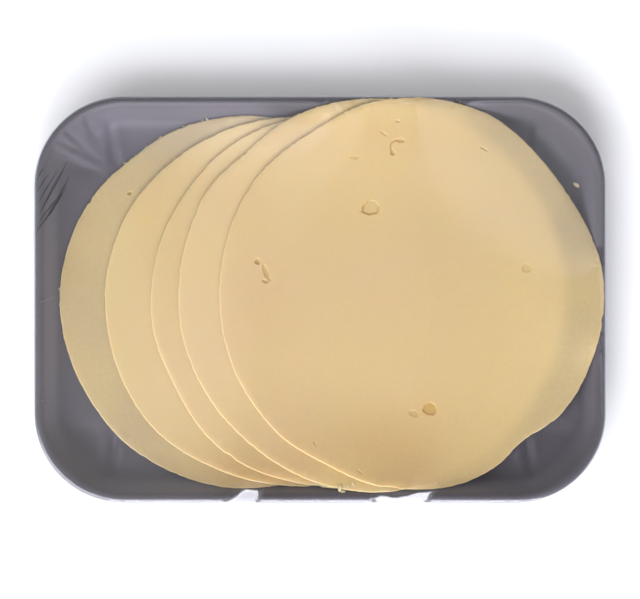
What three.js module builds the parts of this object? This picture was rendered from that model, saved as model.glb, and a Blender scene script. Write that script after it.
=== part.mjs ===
// A tray pack of round cheese slices: a shallow foam tray, five thin slices fanned out
// across it, and the clear stretch film that wraps the whole and is tucked under the base.
// Millimetres, +Z up. The origin is on the surface that the pack stands on, under its middle;
// +X runs along the tray, from the bottom slice of the fan to the top one.
import * as THREE from "three";

// ---- Driving dimensions ----
const FILM = 0.4; // thickness of the film's solid, which stands for film of about 0.015
const GAP = 0.3; // air between two pieces that touch
const TRAY_LENGTH = 204;
const TRAY_WIDTH = 145;
const CORNER_RADIUS = 32;
const BASE_Z = FILM + GAP; // the tray stands on the film tucked under it
const SLICE_THICKNESS = 1.2;
const SLICE_GAP = 0.4;

// The tray's section, from the middle of its base, round the rim, to the middle of its floor:
// [distance in from the outer edge, height above the tray's foot].
const TRAY_UNDERSIDE = [
  [40, 0.8], [24, 0.8], [22.5, 0], [12.5, 0], [9.5, 0.4], [7, 2],
  [5.9, 3.5], [3.9, 6.6], [1.9, 9.9], [0.9, 10.6], [0.3, 11], [0, 11.9],
];
const TRAY_INSIDE = [
  [0.3, 13.1], [1.1, 13.8], [1.9, 14], [3.1, 13.5], [4.4, 11.6],
  [6.4, 8.2], [8.2, 5.5], [9.2, 4.6], [10.4, 4.15], [12, 4], [40, 4],
];
const RIM_HEIGHT = 14;
const RIM_INSET = 1.9; // the rim's highest line
const RIM_REACH = 7; // a sheet whose edge comes this near the tray's edge lies up on its wall

// The fan of slices, bottom one first: the middle of each, its half length and half width in
// plan, and its flats: places where its edge is cut in, as [bearing, depth, half width] with the
// bearing and half width in degrees and the depth as a share of the radius.
const SLICES = [
  { x: -26.4, y: -0.4, halfLength: 67, halfWidth: 65, flats: [[150, 0.012, 16], [214, 0.01, 14]] },
  { x: -9.1, y: -0.4, halfLength: 68.5, halfWidth: 65, flats: [[120, 0.014, 18], [200, 0.008, 12]] },
  { x: 7.3, y: -0.4, halfLength: 69, halfWidth: 65, flats: [[140, 0.01, 15], [235, 0.012, 14]] },
  { x: 17, y: 1.2, halfLength: 68.6, halfWidth: 70, flats: [[128, 0.018, 20], [38, 0.01, 16]] },
  {
    x: 32.4,
    y: 1.8,
    halfLength: 68.9,
    halfWidth: 70,
    flats: [[34, 0.04, 22], [308, 0.045, 9], [146, 0.012, 16]],
  },
];

// The film's outer face below the rim, down to the edge of the opening that its tucked edges
// leave in the base, and its inner face back up: [distance in from the tray's edge, height].
const FILM_OUTSIDE = [[-0.7, 12.1], [5.3, 3.75], [7.75, 1.05], [10.3, 0], [32, 0]];
const FILM_INSIDE = [[32, 0.4], [10.4, 0.4], [7.95, 1.42], [5.62, 4], [-0.3, 12.2]];
const FILM_CLEARANCE = 0.8; // between the highest thing inside and the film over it
const SHOULDER_DROP = 0.5; // how far the film has come down where it turns over the rim

// ---- Plan outlines ----
const CORNER_STEPS = 9;
const SIDE_STEPS = { long: 8, short: 5 };

// One ring of the tray's plan outline, a given distance in from its outer edge.
function trayRing(inset) {
  const radius = Math.max(CORNER_RADIUS - inset, 1.5);
  const halfX = TRAY_LENGTH / 2 - inset - radius;
  const halfY = TRAY_WIDTH / 2 - inset - radius;
  const corners = [[halfX, halfY], [-halfX, halfY], [-halfX, -halfY], [halfX, -halfY]];
  const points = [];
  corners.forEach(([x, y], quarter) => {
    for (let step = 0; step <= CORNER_STEPS; step++) {
      const angle = (quarter + step / CORNER_STEPS) * (Math.PI / 2);
      points.push(new THREE.Vector2(x + radius * Math.cos(angle), y + radius * Math.sin(angle)));
    }
    const end = points.at(-1);
    const [nextX, nextY] = corners[(quarter + 1) % 4];
    const turn = ((quarter + 1) * Math.PI) / 2;
    const next = new THREE.Vector2(nextX + radius * Math.cos(turn), nextY + radius * Math.sin(turn));
    const steps = quarter % 2 ? SIDE_STEPS.short : SIDE_STEPS.long;
    for (let step = 1; step < steps; step++) points.push(end.clone().lerp(next, step / steps));
  });
  return points;
}

// How far a point lies in from the tray's outer edge; negative outside it.
function insetAt(x, y) {
  const cornerX = Math.abs(x) - (TRAY_LENGTH / 2 - CORNER_RADIUS);
  const cornerY = Math.abs(y) - (TRAY_WIDTH / 2 - CORNER_RADIUS);
  const outside = Math.hypot(Math.max(cornerX, 0), Math.max(cornerY, 0));
  return CORNER_RADIUS - outside - Math.min(Math.max(cornerX, cornerY), 0);
}

// The height of the tray's upper surface, with its rim widened inwards for what lies on it.
function trayTop(x, y, widening) {
  const inset = insetAt(x, y) - widening;
  const last = TRAY_INSIDE.length - 1;
  const next = TRAY_INSIDE.findIndex(([at]) => at > inset);
  if (next === 0) return BASE_Z + RIM_HEIGHT;
  if (next < 0) return BASE_Z + TRAY_INSIDE[last][1];
  const [fromInset, fromZ] = TRAY_INSIDE[next - 1];
  const [toInset, toZ] = TRAY_INSIDE[next];
  const height = fromZ + ((toZ - fromZ) * (inset - fromInset)) / (toInset - fromInset);
  return BASE_Z + (inset < RIM_INSET ? RIM_HEIGHT : height);
}

// A slice's radius towards a bearing in radians, as a share of its half length and half width.
function sliceShare(slice, bearing) {
  return slice.flats.reduce((share, [at, depth, halfWidth]) => {
    const away = THREE.MathUtils.euclideanModulo(THREE.MathUtils.radToDeg(bearing) - at + 180, 360) - 180;
    return share - depth * Math.exp(-((away / halfWidth) ** 2));
  }, 1);
}

// How far out a point lies from a slice's middle: 1 on its edge.
function shareOut(slice, x, y) {
  const [u, v] = [(x - slice.x) / slice.halfLength, (y - slice.y) / slice.halfWidth];
  return Math.hypot(u, v) / sliceShare(slice, Math.atan2(v, u));
}

// ---- Heights: how the slices settle on the tray and on each other ----
const CELL = 3;
const COLUMNS = 2 * Math.ceil(TRAY_LENGTH / 2 / CELL) + 3;
const ROWS = 2 * Math.ceil(TRAY_WIDTH / 2 / CELL) + 3;

// Heights on a square grid over the tray.
class HeightField {
  constructor(heightAt) {
    this.z = new Float64Array(COLUMNS * ROWS);
    for (let i = 0; i < this.z.length; i++) this.z[i] = heightAt(...HeightField.place(i), i);
  }

  static place(index) {
    return [
      ((index % COLUMNS) - (COLUMNS - 1) / 2) * CELL,
      (Math.floor(index / COLUMNS) - (ROWS - 1) / 2) * CELL,
    ];
  }

  // The height at any point, by bilinear interpolation.
  at(x, y) {
    const column = THREE.MathUtils.clamp(x / CELL + (COLUMNS - 1) / 2, 0, COLUMNS - 1.001);
    const row = THREE.MathUtils.clamp(y / CELL + (ROWS - 1) / 2, 0, ROWS - 1.001);
    const [left, low] = [Math.floor(column), Math.floor(row)];
    const [u, v] = [column - left, row - low];
    const rowAt = (up) => {
      const start = (low + up) * COLUMNS + left;
      return THREE.MathUtils.lerp(this.z[start], this.z[start + 1], u);
    };
    return THREE.MathUtils.lerp(rowAt(0), rowAt(1), v);
  }

  // Each point's height worked out from those of its neighbourhood.
  filtered(combine) {
    const offsets = [-CELL, 0, CELL];
    return new HeightField((x, y) =>
      combine(offsets.flatMap((dx) => offsets.map((dy) => this.at(x + dx, y + dy))))
    );
  }

  // A smoother surface that is nowhere lower, so that coarse meshes laid over it stay clear.
  eased() {
    const mean = (heights) => heights.reduce((sum, z) => sum + z, 0) / heights.length;
    return this.filtered((heights) => Math.max(...heights)).filtered(mean);
  }
}

const SWEEPS = 400;
const RELAXATION = 1.7;

// Settles a thin sheet on what is under it: each point takes the mean of its neighbours, less
// the sheet's own droop, and never goes below its support. A free edge has fewer neighbours;
// a held one is tied down to the support around it.
function settle(support, covers, droop, start, held = false) {
  const sheet = new HeightField((x, y, i) => (covers[i] ? start : support.z[i]));
  for (let sweep = 0; sweep < SWEEPS; sweep++) {
    for (let i = 0; i < sheet.z.length; i++) {
      if (!covers[i]) continue;
      const near = [i - 1, i + 1, i - COLUMNS, i + COLUMNS].filter((j) => held || covers[j]);
      const mean = near.reduce((sum, j) => sum + sheet.z[j], 0) / near.length;
      const moved = sheet.z[i] + RELAXATION * (mean - droop - sheet.z[i]);
      sheet.z[i] = Math.max(support.z[i], moved);
    }
  }
  return sheet;
}

const SLICE_DROOP = 0.03;
const SHARE_COVERED = 1.07; // a slice's heights are worked out this far past its edge

const RIM_WIDENING = 2; // how much further in the rim reaches under such a sheet

// What holds up a sheet of a given half width over the tray and the slices piled on it so far.
function supportUnder(pile, halfWidth) {
  const eased = pile.eased();
  const widening = halfWidth > TRAY_WIDTH / 2 - RIM_REACH ? RIM_WIDENING : 0;
  return (x, y) => Math.max(eased.at(x, y), trayTop(x, y, widening));
}

// The underside of each slice, from the bottom one up, and the top of the whole pile.
function settleSlices() {
  const floor = BASE_Z + TRAY_INSIDE.at(-1)[1];
  let pile = new HeightField(() => floor);
  const undersides = SLICES.map((slice) => {
    const heightAt = supportUnder(pile, slice.halfWidth);
    const support = new HeightField((x, y) => {
      const pull = Math.min(1, 1 / shareOut(slice, x, y));
      return heightAt(slice.x + (x - slice.x) * pull, slice.y + (y - slice.y) * pull) + SLICE_GAP;
    });
    const covers = support.z.map((z, i) => Number(shareOut(slice, ...HeightField.place(i)) < SHARE_COVERED));
    const underside = settle(support, covers, SLICE_DROOP, BASE_Z + RIM_HEIGHT);
    const before = pile;
    pile = new HeightField((x, y, i) => (covers[i] ? underside.z[i] + SLICE_THICKNESS : before.z[i]));
    return underside;
  });
  return { undersides, pile };
}

// ---- Solids ----

// A closed surface through rings of points, all of one length, with a point at each end.
function loft(firstPole, rings, lastPole) {
  const count = rings[0].length;
  const points = [firstPole, ...rings.flat(), lastPole];
  const faces = [];
  const at = (ring, i) => 1 + ring * count + (i % count);
  for (let i = 0; i < count; i++) {
    faces.push(0, at(0, i + 1), at(0, i));
    for (let ring = 0; ring + 1 < rings.length; ring++) {
      const [a, b, c, d] = [at(ring, i), at(ring, i + 1), at(ring + 1, i + 1), at(ring + 1, i)];
      faces.push(a, b, c, a, c, d);
    }
    faces.push(at(rings.length - 1, i), at(rings.length - 1, i + 1), points.length - 1);
  }
  const geometry = new THREE.BufferGeometry().setFromPoints(points);
  geometry.setIndex(faces);
  geometry.computeVertexNormals();
  return geometry;
}

const raise = (point, z) => new THREE.Vector3(point.x, point.y, z);

function trayGeometry() {
  const section = [...TRAY_UNDERSIDE, ...TRAY_INSIDE];
  const rings = section.map(([inset, z]) => trayRing(inset).map((p) => raise(p, BASE_Z + z)));
  const [under, over] = [section[0][1], section.at(-1)[1]];
  return loft(new THREE.Vector3(0, 0, BASE_Z + under), rings, new THREE.Vector3(0, 0, BASE_Z + over));
}

const SLICE_RINGS = [0.16, 0.32, 0.47, 0.61, 0.74, 0.85, 0.93, 1];
const SLICE_SIDES = 44;

function sliceGeometry(slice, underside) {
  const ring = (share, lift) =>
    Array.from({ length: SLICE_SIDES }, (_, i) => {
      const bearing = (i / SLICE_SIDES) * 2 * Math.PI;
      const reach = share * sliceShare(slice, bearing);
      const x = slice.x + reach * slice.halfLength * Math.cos(bearing);
      const y = slice.y + reach * slice.halfWidth * Math.sin(bearing);
      return new THREE.Vector3(x, y, underside.at(x, y) + lift);
    });
  const pole = (lift) => new THREE.Vector3(slice.x, slice.y, underside.at(slice.x, slice.y) + lift);
  const rings = [
    ...SLICE_RINGS.map((share) => ring(share, 0)),
    ...SLICE_RINGS.toReversed().map((share) => ring(share, SLICE_THICKNESS)),
  ];
  return loft(pole(0), rings, pole(SLICE_THICKNESS));
}

const FILM_TOP_INSETS = [70, 60, 48, 36, 25, 16, 9, 4, 1];

// The film: a skin over the pile and the rim, down and in to the foot, and along the base to
// the edge of its opening.
function filmGeometry(pile) {
  const heightAt = supportUnder(pile, TRAY_WIDTH / 2);
  const support = new HeightField((x, y) => heightAt(x, y) + FILM_CLEARANCE);
  const covers = support.z.map((z, i) => Number(insetAt(...HeightField.place(i)) > RIM_INSET));
  const roof = settle(support, covers, 0, BASE_Z + RIM_HEIGHT, true);
  const ring = (inset, z) => trayRing(inset).map((p) => raise(p, z));
  const roofRing = (inset, lift) => trayRing(inset).map((p) => raise(p, roof.at(p.x, p.y) + lift));
  const shoulder = (inset) => roofRing(0, -SHOULDER_DROP).map((p, i) => raise(trayRing(inset)[i], p.z));
  const pole = (lift) => new THREE.Vector3(0, 0, roof.at(0, 0) + lift);
  const rings = [
    ...FILM_TOP_INSETS.map((inset) => roofRing(inset, FILM)),
    shoulder(-GAP - FILM),
    ...[...FILM_OUTSIDE, ...FILM_INSIDE].map(([inset, z]) => ring(inset, z)),
    shoulder(-GAP),
    ...FILM_TOP_INSETS.toReversed().map((inset) => roofRing(inset, 0)),
  ];
  return loft(pole(FILM), rings.map((points) => points.toReversed()), pole(0));
}

// ---- Materials ----
const foam = new THREE.MeshStandardMaterial({ color: 0x6f6a72, roughness: 0.55, metalness: 0 });
const cheese = new THREE.MeshStandardMaterial({ color: 0xe2c696, roughness: 0.5, metalness: 0 });
const film = new THREE.MeshStandardMaterial({
  color: 0xf4f6fa,
  roughness: 0.08,
  metalness: 0,
  transparent: true,
  opacity: 0.15,
});

// ---- The pack ----
function named(name, geometry, material) {
  const mesh = new THREE.Mesh(geometry, material);
  mesh.name = name;
  return mesh;
}

const { undersides, pile } = settleSlices();
const pack = new THREE.Group();
pack.add(named("foam_tray", trayGeometry(), foam));
SLICES.forEach((slice, i) => {
  pack.add(named(`cheese_slice_${i + 1}`, sliceGeometry(slice, undersides[i]), cheese));
});
pack.add(named("stretch_film", filmGeometry(pile), film));

export default pack;
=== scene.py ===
"""The looks of a tray pack of round cheese slices: a moulded foam tray, five thin slices settled
on it and on each other, and the clear stretch film pulled over them and tucked under the base.
Lengths are in millimetres until a mesh is made; +X runs along the tray and +Z is up."""

import math

import bpy
import numpy as np
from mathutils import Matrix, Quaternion, Vector, noise
from mathutils.geometry import delaunay_2d_cdt


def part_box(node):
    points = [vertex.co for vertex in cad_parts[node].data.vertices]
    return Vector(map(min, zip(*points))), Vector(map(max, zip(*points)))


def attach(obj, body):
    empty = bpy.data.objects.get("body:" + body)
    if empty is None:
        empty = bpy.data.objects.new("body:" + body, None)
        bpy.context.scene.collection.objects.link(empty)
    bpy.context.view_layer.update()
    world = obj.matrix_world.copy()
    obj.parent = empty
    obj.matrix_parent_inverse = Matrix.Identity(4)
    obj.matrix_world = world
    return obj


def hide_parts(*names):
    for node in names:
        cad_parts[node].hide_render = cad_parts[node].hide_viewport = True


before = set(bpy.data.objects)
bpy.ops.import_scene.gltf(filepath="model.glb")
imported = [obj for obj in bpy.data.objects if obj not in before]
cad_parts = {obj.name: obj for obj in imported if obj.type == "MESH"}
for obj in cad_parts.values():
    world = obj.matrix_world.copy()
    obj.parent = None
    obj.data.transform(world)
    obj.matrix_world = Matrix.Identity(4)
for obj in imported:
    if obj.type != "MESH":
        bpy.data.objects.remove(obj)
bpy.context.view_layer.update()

MM = 0.001
SEED = 7

# ---- Driving dimensions: the tray ----
tray_low, tray_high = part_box("foam_tray")
HALF_LENGTH = tray_high.x / MM
HALF_WIDTH = tray_high.y / MM
FOOT_Z = tray_low.z / MM  # the film tucked under the tray lifts it this far off the floor
CORNER_RADIUS = 32.0
SMALLEST_RADIUS = 2.0
FLOOR_INSET = 15.0  # from here in, the tray's floor and base take over from its wall

# The tray's section as [distance in from the outer edge, height above the foot].
WALL_OUTSIDE = [
    (15, 0), (12.5, 0), (11, 0.12), (9.5, 0.4), (8.2, 1), (7, 2), (5.9, 3.5), (4.9, 5), (3.9, 6.6),
    (2.9, 8.25), (2.15, 9.5), (1.75, 10.05), (1.35, 10.35), (0.9, 10.6), (0.5, 10.8),
    (0.2, 11.15), (0.04, 11.5), (0, 11.9), (0.05, 12.5),
]
WALL_INSIDE = [
    (0.3, 13.1), (0.7, 13.55), (1.1, 13.8), (1.5, 13.95), (1.9, 14), (2.5, 13.88), (3.1, 13.5),
    (3.7, 12.75), (4.4, 11.6), (5.4, 9.9), (6.4, 8.2), (7.2, 6.95), (8, 5.95), (8.8, 5.25),
    (9.7, 4.75), (10.7, 4.42), (11.8, 4.2), (13.2, 4.06), (15, 4),
]
RIM_HEIGHT = 14.0
RIM_INSET = 1.9
CORNER_SLANT = 0.32  # how much further in the wall reaches in the middle of a corner
# The grooves pressed into the long sides where the corners begin, and the swell beside each.
GROOVE_X = 74.5
GROOVE_CROSSING = 20.0  # how far in from the long side a groove passes that x
GROOVE_LEAN = 0.12  # how much further out along the tray it gets per millimetre outwards
GROOVE_DEPTH = 1.3
GROOVE_HALF_WIDTH = 1.3
GROOVE_REACH = (4.2, 8, 18, 26)  # distances in where it begins, is full, starts to fade and ends
SWELL_AWAY = 3.2
SWELL_HALF_WIDTH = 1.9
SWELL_SHARE = 0.7  # of the groove's depth
SWELL_INSETS = (9, 19)  # where it begins and is full
DISH_INSETS = (17.6, 19.8)  # of the hollow in each corner of the floor, from the ends and the sides
DISH_RADIUS = 8.4
DISH_DEPTH = 0.8
BASE_LIFT = 0.05
BASE_STEP = 0.75  # how far the middle of the base is stepped up
BASE_STEP_INSETS = (23.5, 25)
RIPPLE_SIZE = 17  # of the foam's slight unevenness
RIPPLE_HEIGHT = 0.12
EVEN_FOOT = 2  # below this height over the foot the foam has no ripple
TRAY_COLUMNS, TRAY_ROWS = 150, 104

# ---- Driving dimensions: the cheese ----
SLICE_THICKNESS = 1.2
SLICE_GAP = 0.08
SLICE_RADIUS = 70.0  # about, for margins and for the ring on which an edge's unevenness is read
SLICE_DROOP = 0.0012  # how far each point of a free slice hangs below the mean of its neighbours
COVER_MARGIN = 1.03  # how far out a slice's height is worked out, as a share of its reach
WOBBLE_SIZE = 21  # of a slice's slight unevenness
WOBBLE_HEIGHT = 0.1
# A slice's edge from top to bottom, as (distance in from its outline, share of the thickness down).
EDGE_PROFILE = [(0.34, 0.04), (0.16, 0.18), (0.04, 0.45), (0.0, 0.75), (0.1, 0.95)]
FACE_MARGIN = 0.5  # how far in from the outline a slice's upper and lower faces end
EDGE_STEP = 0.42  # between two points along the outline
CRUMBLY_BEARING = 118  # where the slices' edges crumble most, in degrees
CRUMBLY_SPREAD = 32
COARSE, FINE = 1.9, 0.3  # the spacing of a slice's points, and of those round its marks
COARSE_MARGIN, FINE_MARGIN = 1.6, 1.05  # how far both stay inside the outline
COARSE_CLEAR, FINE_REACH = 0.7, 0.5  # how far coarse points keep off a mark and fine ones go round it
EDGE_SHADE_REACH = 0.5  # how far the painted shade beside the next slice's edge reaches
BLUR_UNDERSIDE, BLUR_BACKING = 6, 10  # rounds of smoothing
# The fan, bottom slice first: middle, half length and half width, and where its edge is cut in
# or swells out, as (bearing, depth, half width), in degrees and shares of the radius.
SLICES = [
    dict(x=-26.8, y=-0.8, half=(67.0, 66.8), flats=[(128, 0.014, 11), (205, 0.008, 18)]),
    dict(x=-7.6, y=-0.6, half=(69.8, 66.4), flats=[(118, 0.004, 14), (150, -0.006, 12), (222, -0.02, 15)]),
    dict(x=8.6, y=-0.4, half=(69.5, 67.4), flats=[(126, -0.012, 15), (234, -0.016, 15), (205, 0.012, 12)]),
    dict(x=18.4, y=1.3, half=(69.3, 70.3), flats=[(131, 0.022, 11), (150, -0.008, 8), (232, 0.018, 22)]),
    dict(
        x=32.6,
        y=2.1,
        half=(68.9, 69.8),
        flats=[(34, 0.04, 22), (66, -0.007, 8), (122, 0.024, 12), (243, 0.018, 12), (308, 0.046, 9),
               (282, -0.012, 9)],
    ),
]
# Eyes in the slices' upper faces, by slice: middle, half sizes, turn in degrees, depth, how golden
# the wall is, with painted shade strongest on its lower-left side, and how golden the hollow.
EYES = {
    4: [
        dict(at=(18.2, 32.8), half=(3.3, 2.7), turn=15, depth=0.35, wall=1.3, hollow=0.15),
        dict(at=(39.4, -39.2), half=(2.6, 2.4), turn=0, depth=0.35, wall=1.0, hollow=1.0),
        dict(at=(33.6, -40.8), half=(2.0, 1.2), turn=-20, depth=0.2, wall=0.3, hollow=0.45),
        dict(at=(74.0, 11.2), half=(1.8, 1.7), turn=20, depth=0.2, wall=0.25, hollow=0.5),
        dict(at=(-22.4, 13.6), half=(1.0, 1.15), turn=0, depth=0.5, wall=1.0, hollow=1.0),
        dict(at=(-19.2, 9.6), half=(1.0, 3.5), turn=22, depth=0.35, wall=0.6, hollow=0.6),
        dict(at=(-19.6, 6.6), half=(1.2, 0.7), turn=-20, depth=0.4, wall=0.8, hollow=0.8),
        dict(at=(28.8, 56.8), half=(1.7, 0.8), turn=-4, depth=0.35, wall=0.9, hollow=0.5),
        dict(at=(25.9, 52.4), half=(0.8, 1.0), turn=30, depth=0.4, wall=0.9, hollow=0.9),
        dict(at=(22.8, 59.2), half=(1.4, 0.5), turn=-38, depth=0.2, wall=0.5, hollow=0.3),
        dict(at=(27.8, 63.6), half=(0.9, 0.4), turn=-10, depth=0.3, wall=0.8, hollow=0.2),
        dict(at=(12.4, 50.8), half=(1.6, 0.7), turn=4, depth=0.15, wall=0.2, hollow=0.45),
    ],
    0: [dict(at=(-68.6, 38.2), half=(0.8, 0.6), turn=20, depth=0.7, wall=1.0, hollow=1.0)],
    1: [dict(at=(-62.8, -58.0), half=(0.5, 0.4), turn=0, depth=0.5, wall=1.0, hollow=1.0)],
}
# Cracks, by slice: the points of each line, its half width, its depth and how dark the painted shade along
# it is.
CRACKS = {
    4: [
        dict(line=[(27.2, 57.0), (26.0, 56.4), (25.3, 55.2), (25.4, 53.8), (25.9, 52.8)], width=0.42,
             depth=0.4, dark=0.8),
        dict(line=[(57.6, 54.4), (58.4, 54.2), (59.6, 53.2)], width=0.26, depth=0.4, dark=1.0),
        dict(line=[(13.6, -61.0), (15.2, -62.2)], width=0.26, depth=0.25, dark=0.6),
        dict(line=[(-2.0, -51.0), (-1.6, -52.0)], width=0.3, depth=0.3, dark=0.7),
    ],
}
# Darker ochre patches by slice, most along the near edges: middle, half sizes, strength.
OCHRE_PATCHES = {
    0: [(-30, -62, 40, 8, 0.6), (-84, 30, 8, 20, 0.25)],
    1: [(-20, -60, 34, 12, 0.9), (-60, 30, 8, 24, 0.3)],
    2: [(0, -60, 34, 12, 0.9), (-52, 20, 8, 30, 0.3)],
    3: [(0, -60, 30, 10, 0.7), (-10, 62, 40, 8, 0.3)],
    4: [(24, -56, 34, 17, 1.0), (-24, 6, 12, 40, 0.35), (20, 60, 40, 8, 0.4)],
}
# Crumbs on the tray and in the film's folds: place and half length.
CRUMBS = [(92.4, 41.2, 1.5), (7.2, -67.2, 1.5), (8.2, -68.6, 1.1), (11.9, -65.8, 0.9), (10.2, -66.6, 0.6)]
CRUMB_PALENESS = 1.4  # compared with the painted highlight on a slice's cut edge
# Crumbs hanging on the slices' edges, by slice: bearing and half length.
EDGE_CRUMBS = {
    0: [(101.8, 0.8), (103.4, 0.45), (109.5, 0.5), (113, 0.4), (117.4, 0.75), (122.6, 0.55), (127, 0.4),
        (131, 0.55), (138, 0.35), (176, 0.5), (181, 0.3), (197, 0.3)],
    1: [(113.8, 0.6), (117, 0.4), (126.8, 0.55), (129.6, 0.65), (134, 0.35)],
    4: [(96, 0.45), (88, 0.35), (84, 0.3)],
}

# ---- Driving dimensions: the film ----
FILM_LIFT = 0.16  # of the film over whatever it lies on
FILM_OUT = 0.35  # of the film outside the tray
FILM_COLUMNS, FILM_ROWS = 300, 216
FILM_TOP_INSET = 1.6  # where the film's top ends and its loops over the rim begin
# The film's loops over the rim, as (distance in, drop below its crest, how loosely it lies).
FILM_OVER_RIM = [(0.9, 0.12, 0), (0.3, 0.42, 0), (-0.1, 0.85, 0.03), (-0.3, 1.4, 0.06)]
FILM_WALL_TOP = 12.0  # over the foot
FILM_WALL_DROP = 8.6
FILM_WALL_FOOT_INSET = 5.6
FILM_FLOOR_Z = 0.14  # of the film that lies under the base
FILM_OPENING_INSET = 31.0
GATHER = (0.55, 0.95)  # how near the middle of a corner the pleats begin and are full
PLEATS = 150
PLEAT_DEPTH, SLACK_DEPTH = 1.25, 0.16  # how far pleats and slack stand out where the film is loosest
PLEAT_DROP, SLACK_DROP = 0.22, 0.1  # and how far they lift it under the base
UNDER_INSET = 8  # from here in the film is under the tray
FREE_GAPS = (0.02, 0.6)  # gaps under the film at which its stretch lines start to show, and are full
HELD_RELIEF = 0.25  # the share of their height that they have where the film lies on something
RIDGES_PER_CORNER = 6
# Flat facets in which the film stands off the near rim, as outlines of (x, distance in from the
# tray's edge) that start along the edge.
FACETS = [
    [(-35.1, -FILM_OUT), (-22.7, -FILM_OUT), (-21.4, 2.2), (-21.5, 5.3), (-26.8, 5.5), (-30.4, 2.4)],
    [(20.1, -FILM_OUT), (37.7, -FILM_OUT), (40.6, 4.8), (34.8, 4.4), (31.0, 3.1), (26.7, 2.4),
     (22.1, 3.5), (18.6, 1.6)],
]
FACET_FOOT = 0.3  # how far below the film's crest a facet starts, at the tray's edge
FACET_SLOPE = 0.62
FACET_SIDES = 2.2  # how steeply the film drops round a facet
# Sharp folds in the film at the left end: both ends and the width of each.
FOLDS = [
    ((-100.0, 30.4), (-90.2, 49.2), 1.0), ((-97.6, 29.0), (-89.2, 44.0), 0.9),
    ((-100.6, 34.0), (-93.4, 46.6), 0.5), ((-98.6, 27.4), (-90.6, 39.6), 0.6),
    ((-101.4, 24.2), (-94.4, 32.6), 0.6), ((-100.4, 27.2), (-92.0, 38.4), 0.5),
    ((-100.8, 38.6), (-96.6, 45.0), 0.45), ((-101.2, 42.4), (-98.2, 47.4), 0.35),
    ((-100.8, -1.4), (-93.8, 1.2), 0.4), ((-101.2, -35.6), (-97.2, -36.4), 0.4),
]

FOLD_STEPS = 14
FOLD_LIFT = 0.05  # of a fold's foot over the film
FOLD_BEND = 0.15
# A fold's section, as (place across its half width, height in half widths, how shiny it is).
FOLD_SECTION = [(-1, 0, 0), (0.3, 1, 0.2), (1, 0, 1)]

# ---- Driving dimensions: the studio, in metres ----
CAMERA_HEIGHT = 0.9
SENSOR_WIDTH = 36  # in millimetres
PHOTO_WIDTH = 0.2270  # the width that the camera takes in at the height of the pack's top
PANEL_HEIGHT = 0.95  # of the panels overhead that the film mirrors


# ---- Plan outlines ----
def boundary(direction_u, direction_v, inset):
    """The point of the tray's rounded outline, a distance in from its edge, that belongs to a
    direction on a square, whose corners fall on the middles of the outline's corners."""
    radius = max(CORNER_RADIUS - inset, SMALLEST_RADIUS)
    half_x, half_y = HALF_LENGTH - inset, HALF_WIDTH - inset
    on_long_side = np.abs(direction_v) >= np.abs(direction_u)
    main = np.where(on_long_side, direction_v, direction_u)
    cross = np.where(on_long_side, direction_u, direction_v)
    straight = np.where(on_long_side, half_x, half_y) - radius
    reach = np.where(on_long_side, half_y, half_x)
    share = np.divide(cross, np.abs(main), out=np.zeros_like(cross), where=main != 0)
    along = np.abs(share) * (straight + radius * math.pi / 4)
    turn = np.maximum(along - straight, 0) / radius
    side_way = np.minimum(along, straight) + radius * np.sin(turn)
    out_way = reach - radius + radius * np.cos(turn)
    side_way, out_way = side_way * np.sign(share), out_way * np.sign(main)
    x = np.where(on_long_side, side_way, out_way)
    y = np.where(on_long_side, out_way, side_way)
    return x, y


def plan_grid(inset, columns, rows):
    """A grid of points that fills the outline at that inset, as (x, y) arrays of rows + 1 by
    columns + 1."""
    u, v = np.meshgrid(np.linspace(-1, 1, columns + 1), np.linspace(-1, 1, rows + 1))
    out = np.maximum(np.abs(u), np.abs(v))
    x, y = boundary(u, v, inset)
    return x * out, y * out


def perimeter(columns, rows):
    """The indices of a plan grid's border points, counterclockwise from its lower left."""
    index = np.arange((rows + 1) * (columns + 1)).reshape(rows + 1, columns + 1)
    return np.concatenate([index[0, :-1], index[:-1, -1], index[-1, :0:-1], index[:0:-1, 0]])


def inset_at(x, y):
    """How far a point lies in from the tray's outer edge; negative outside it."""
    corner_x = np.abs(x) - (HALF_LENGTH - CORNER_RADIUS)
    corner_y = np.abs(y) - (HALF_WIDTH - CORNER_RADIUS)
    outside = np.hypot(np.maximum(corner_x, 0), np.maximum(corner_y, 0))
    return CORNER_RADIUS - outside - np.minimum(np.maximum(corner_x, corner_y), 0)


def smooth_step(low, high, value):
    share = np.clip((value - low) / (high - low), 0, 1)
    return share * share * (3 - 2 * share)


# ---- The tray's upper surface ----
def wall_inset(x, y):
    """The inset that decides the wall's height: the wall slants further in towards the middle
    of each corner."""
    across, along = np.abs(x) - (HALF_LENGTH - CORNER_RADIUS), np.abs(y) - (HALF_WIDTH - CORNER_RADIUS)
    turn = np.arctan2(np.maximum(along, 0), np.maximum(across, 0))
    inset = inset_at(x, y)
    past_rim = np.maximum(inset - RIM_INSET, 0)
    return inset - past_rim * CORNER_SLANT * np.sin(2 * turn) ** 2


def grooves(x, y):
    """The depth of the grooves, less the swell beside each."""
    inset = inset_at(x, y)
    across = np.abs(x) - GROOVE_X - (np.abs(y) - HALF_WIDTH + GROOVE_CROSSING) * GROOVE_LEAN
    begin, full, fading, end = GROOVE_REACH
    fade = smooth_step(begin, full, inset) * (1 - smooth_step(fading, end, inset))
    crease = np.exp(-((across / GROOVE_HALF_WIDTH) ** 2))
    beside = (np.abs(across) - SWELL_AWAY) / SWELL_HALF_WIDTH
    swell = SWELL_SHARE * np.exp(-(beside**2)) * smooth_step(*SWELL_INSETS, inset)
    near_long_side = np.abs(y) > HALF_WIDTH - CORNER_RADIUS
    return np.where(near_long_side, GROOVE_DEPTH * fade * (crease - swell), 0)


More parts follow.
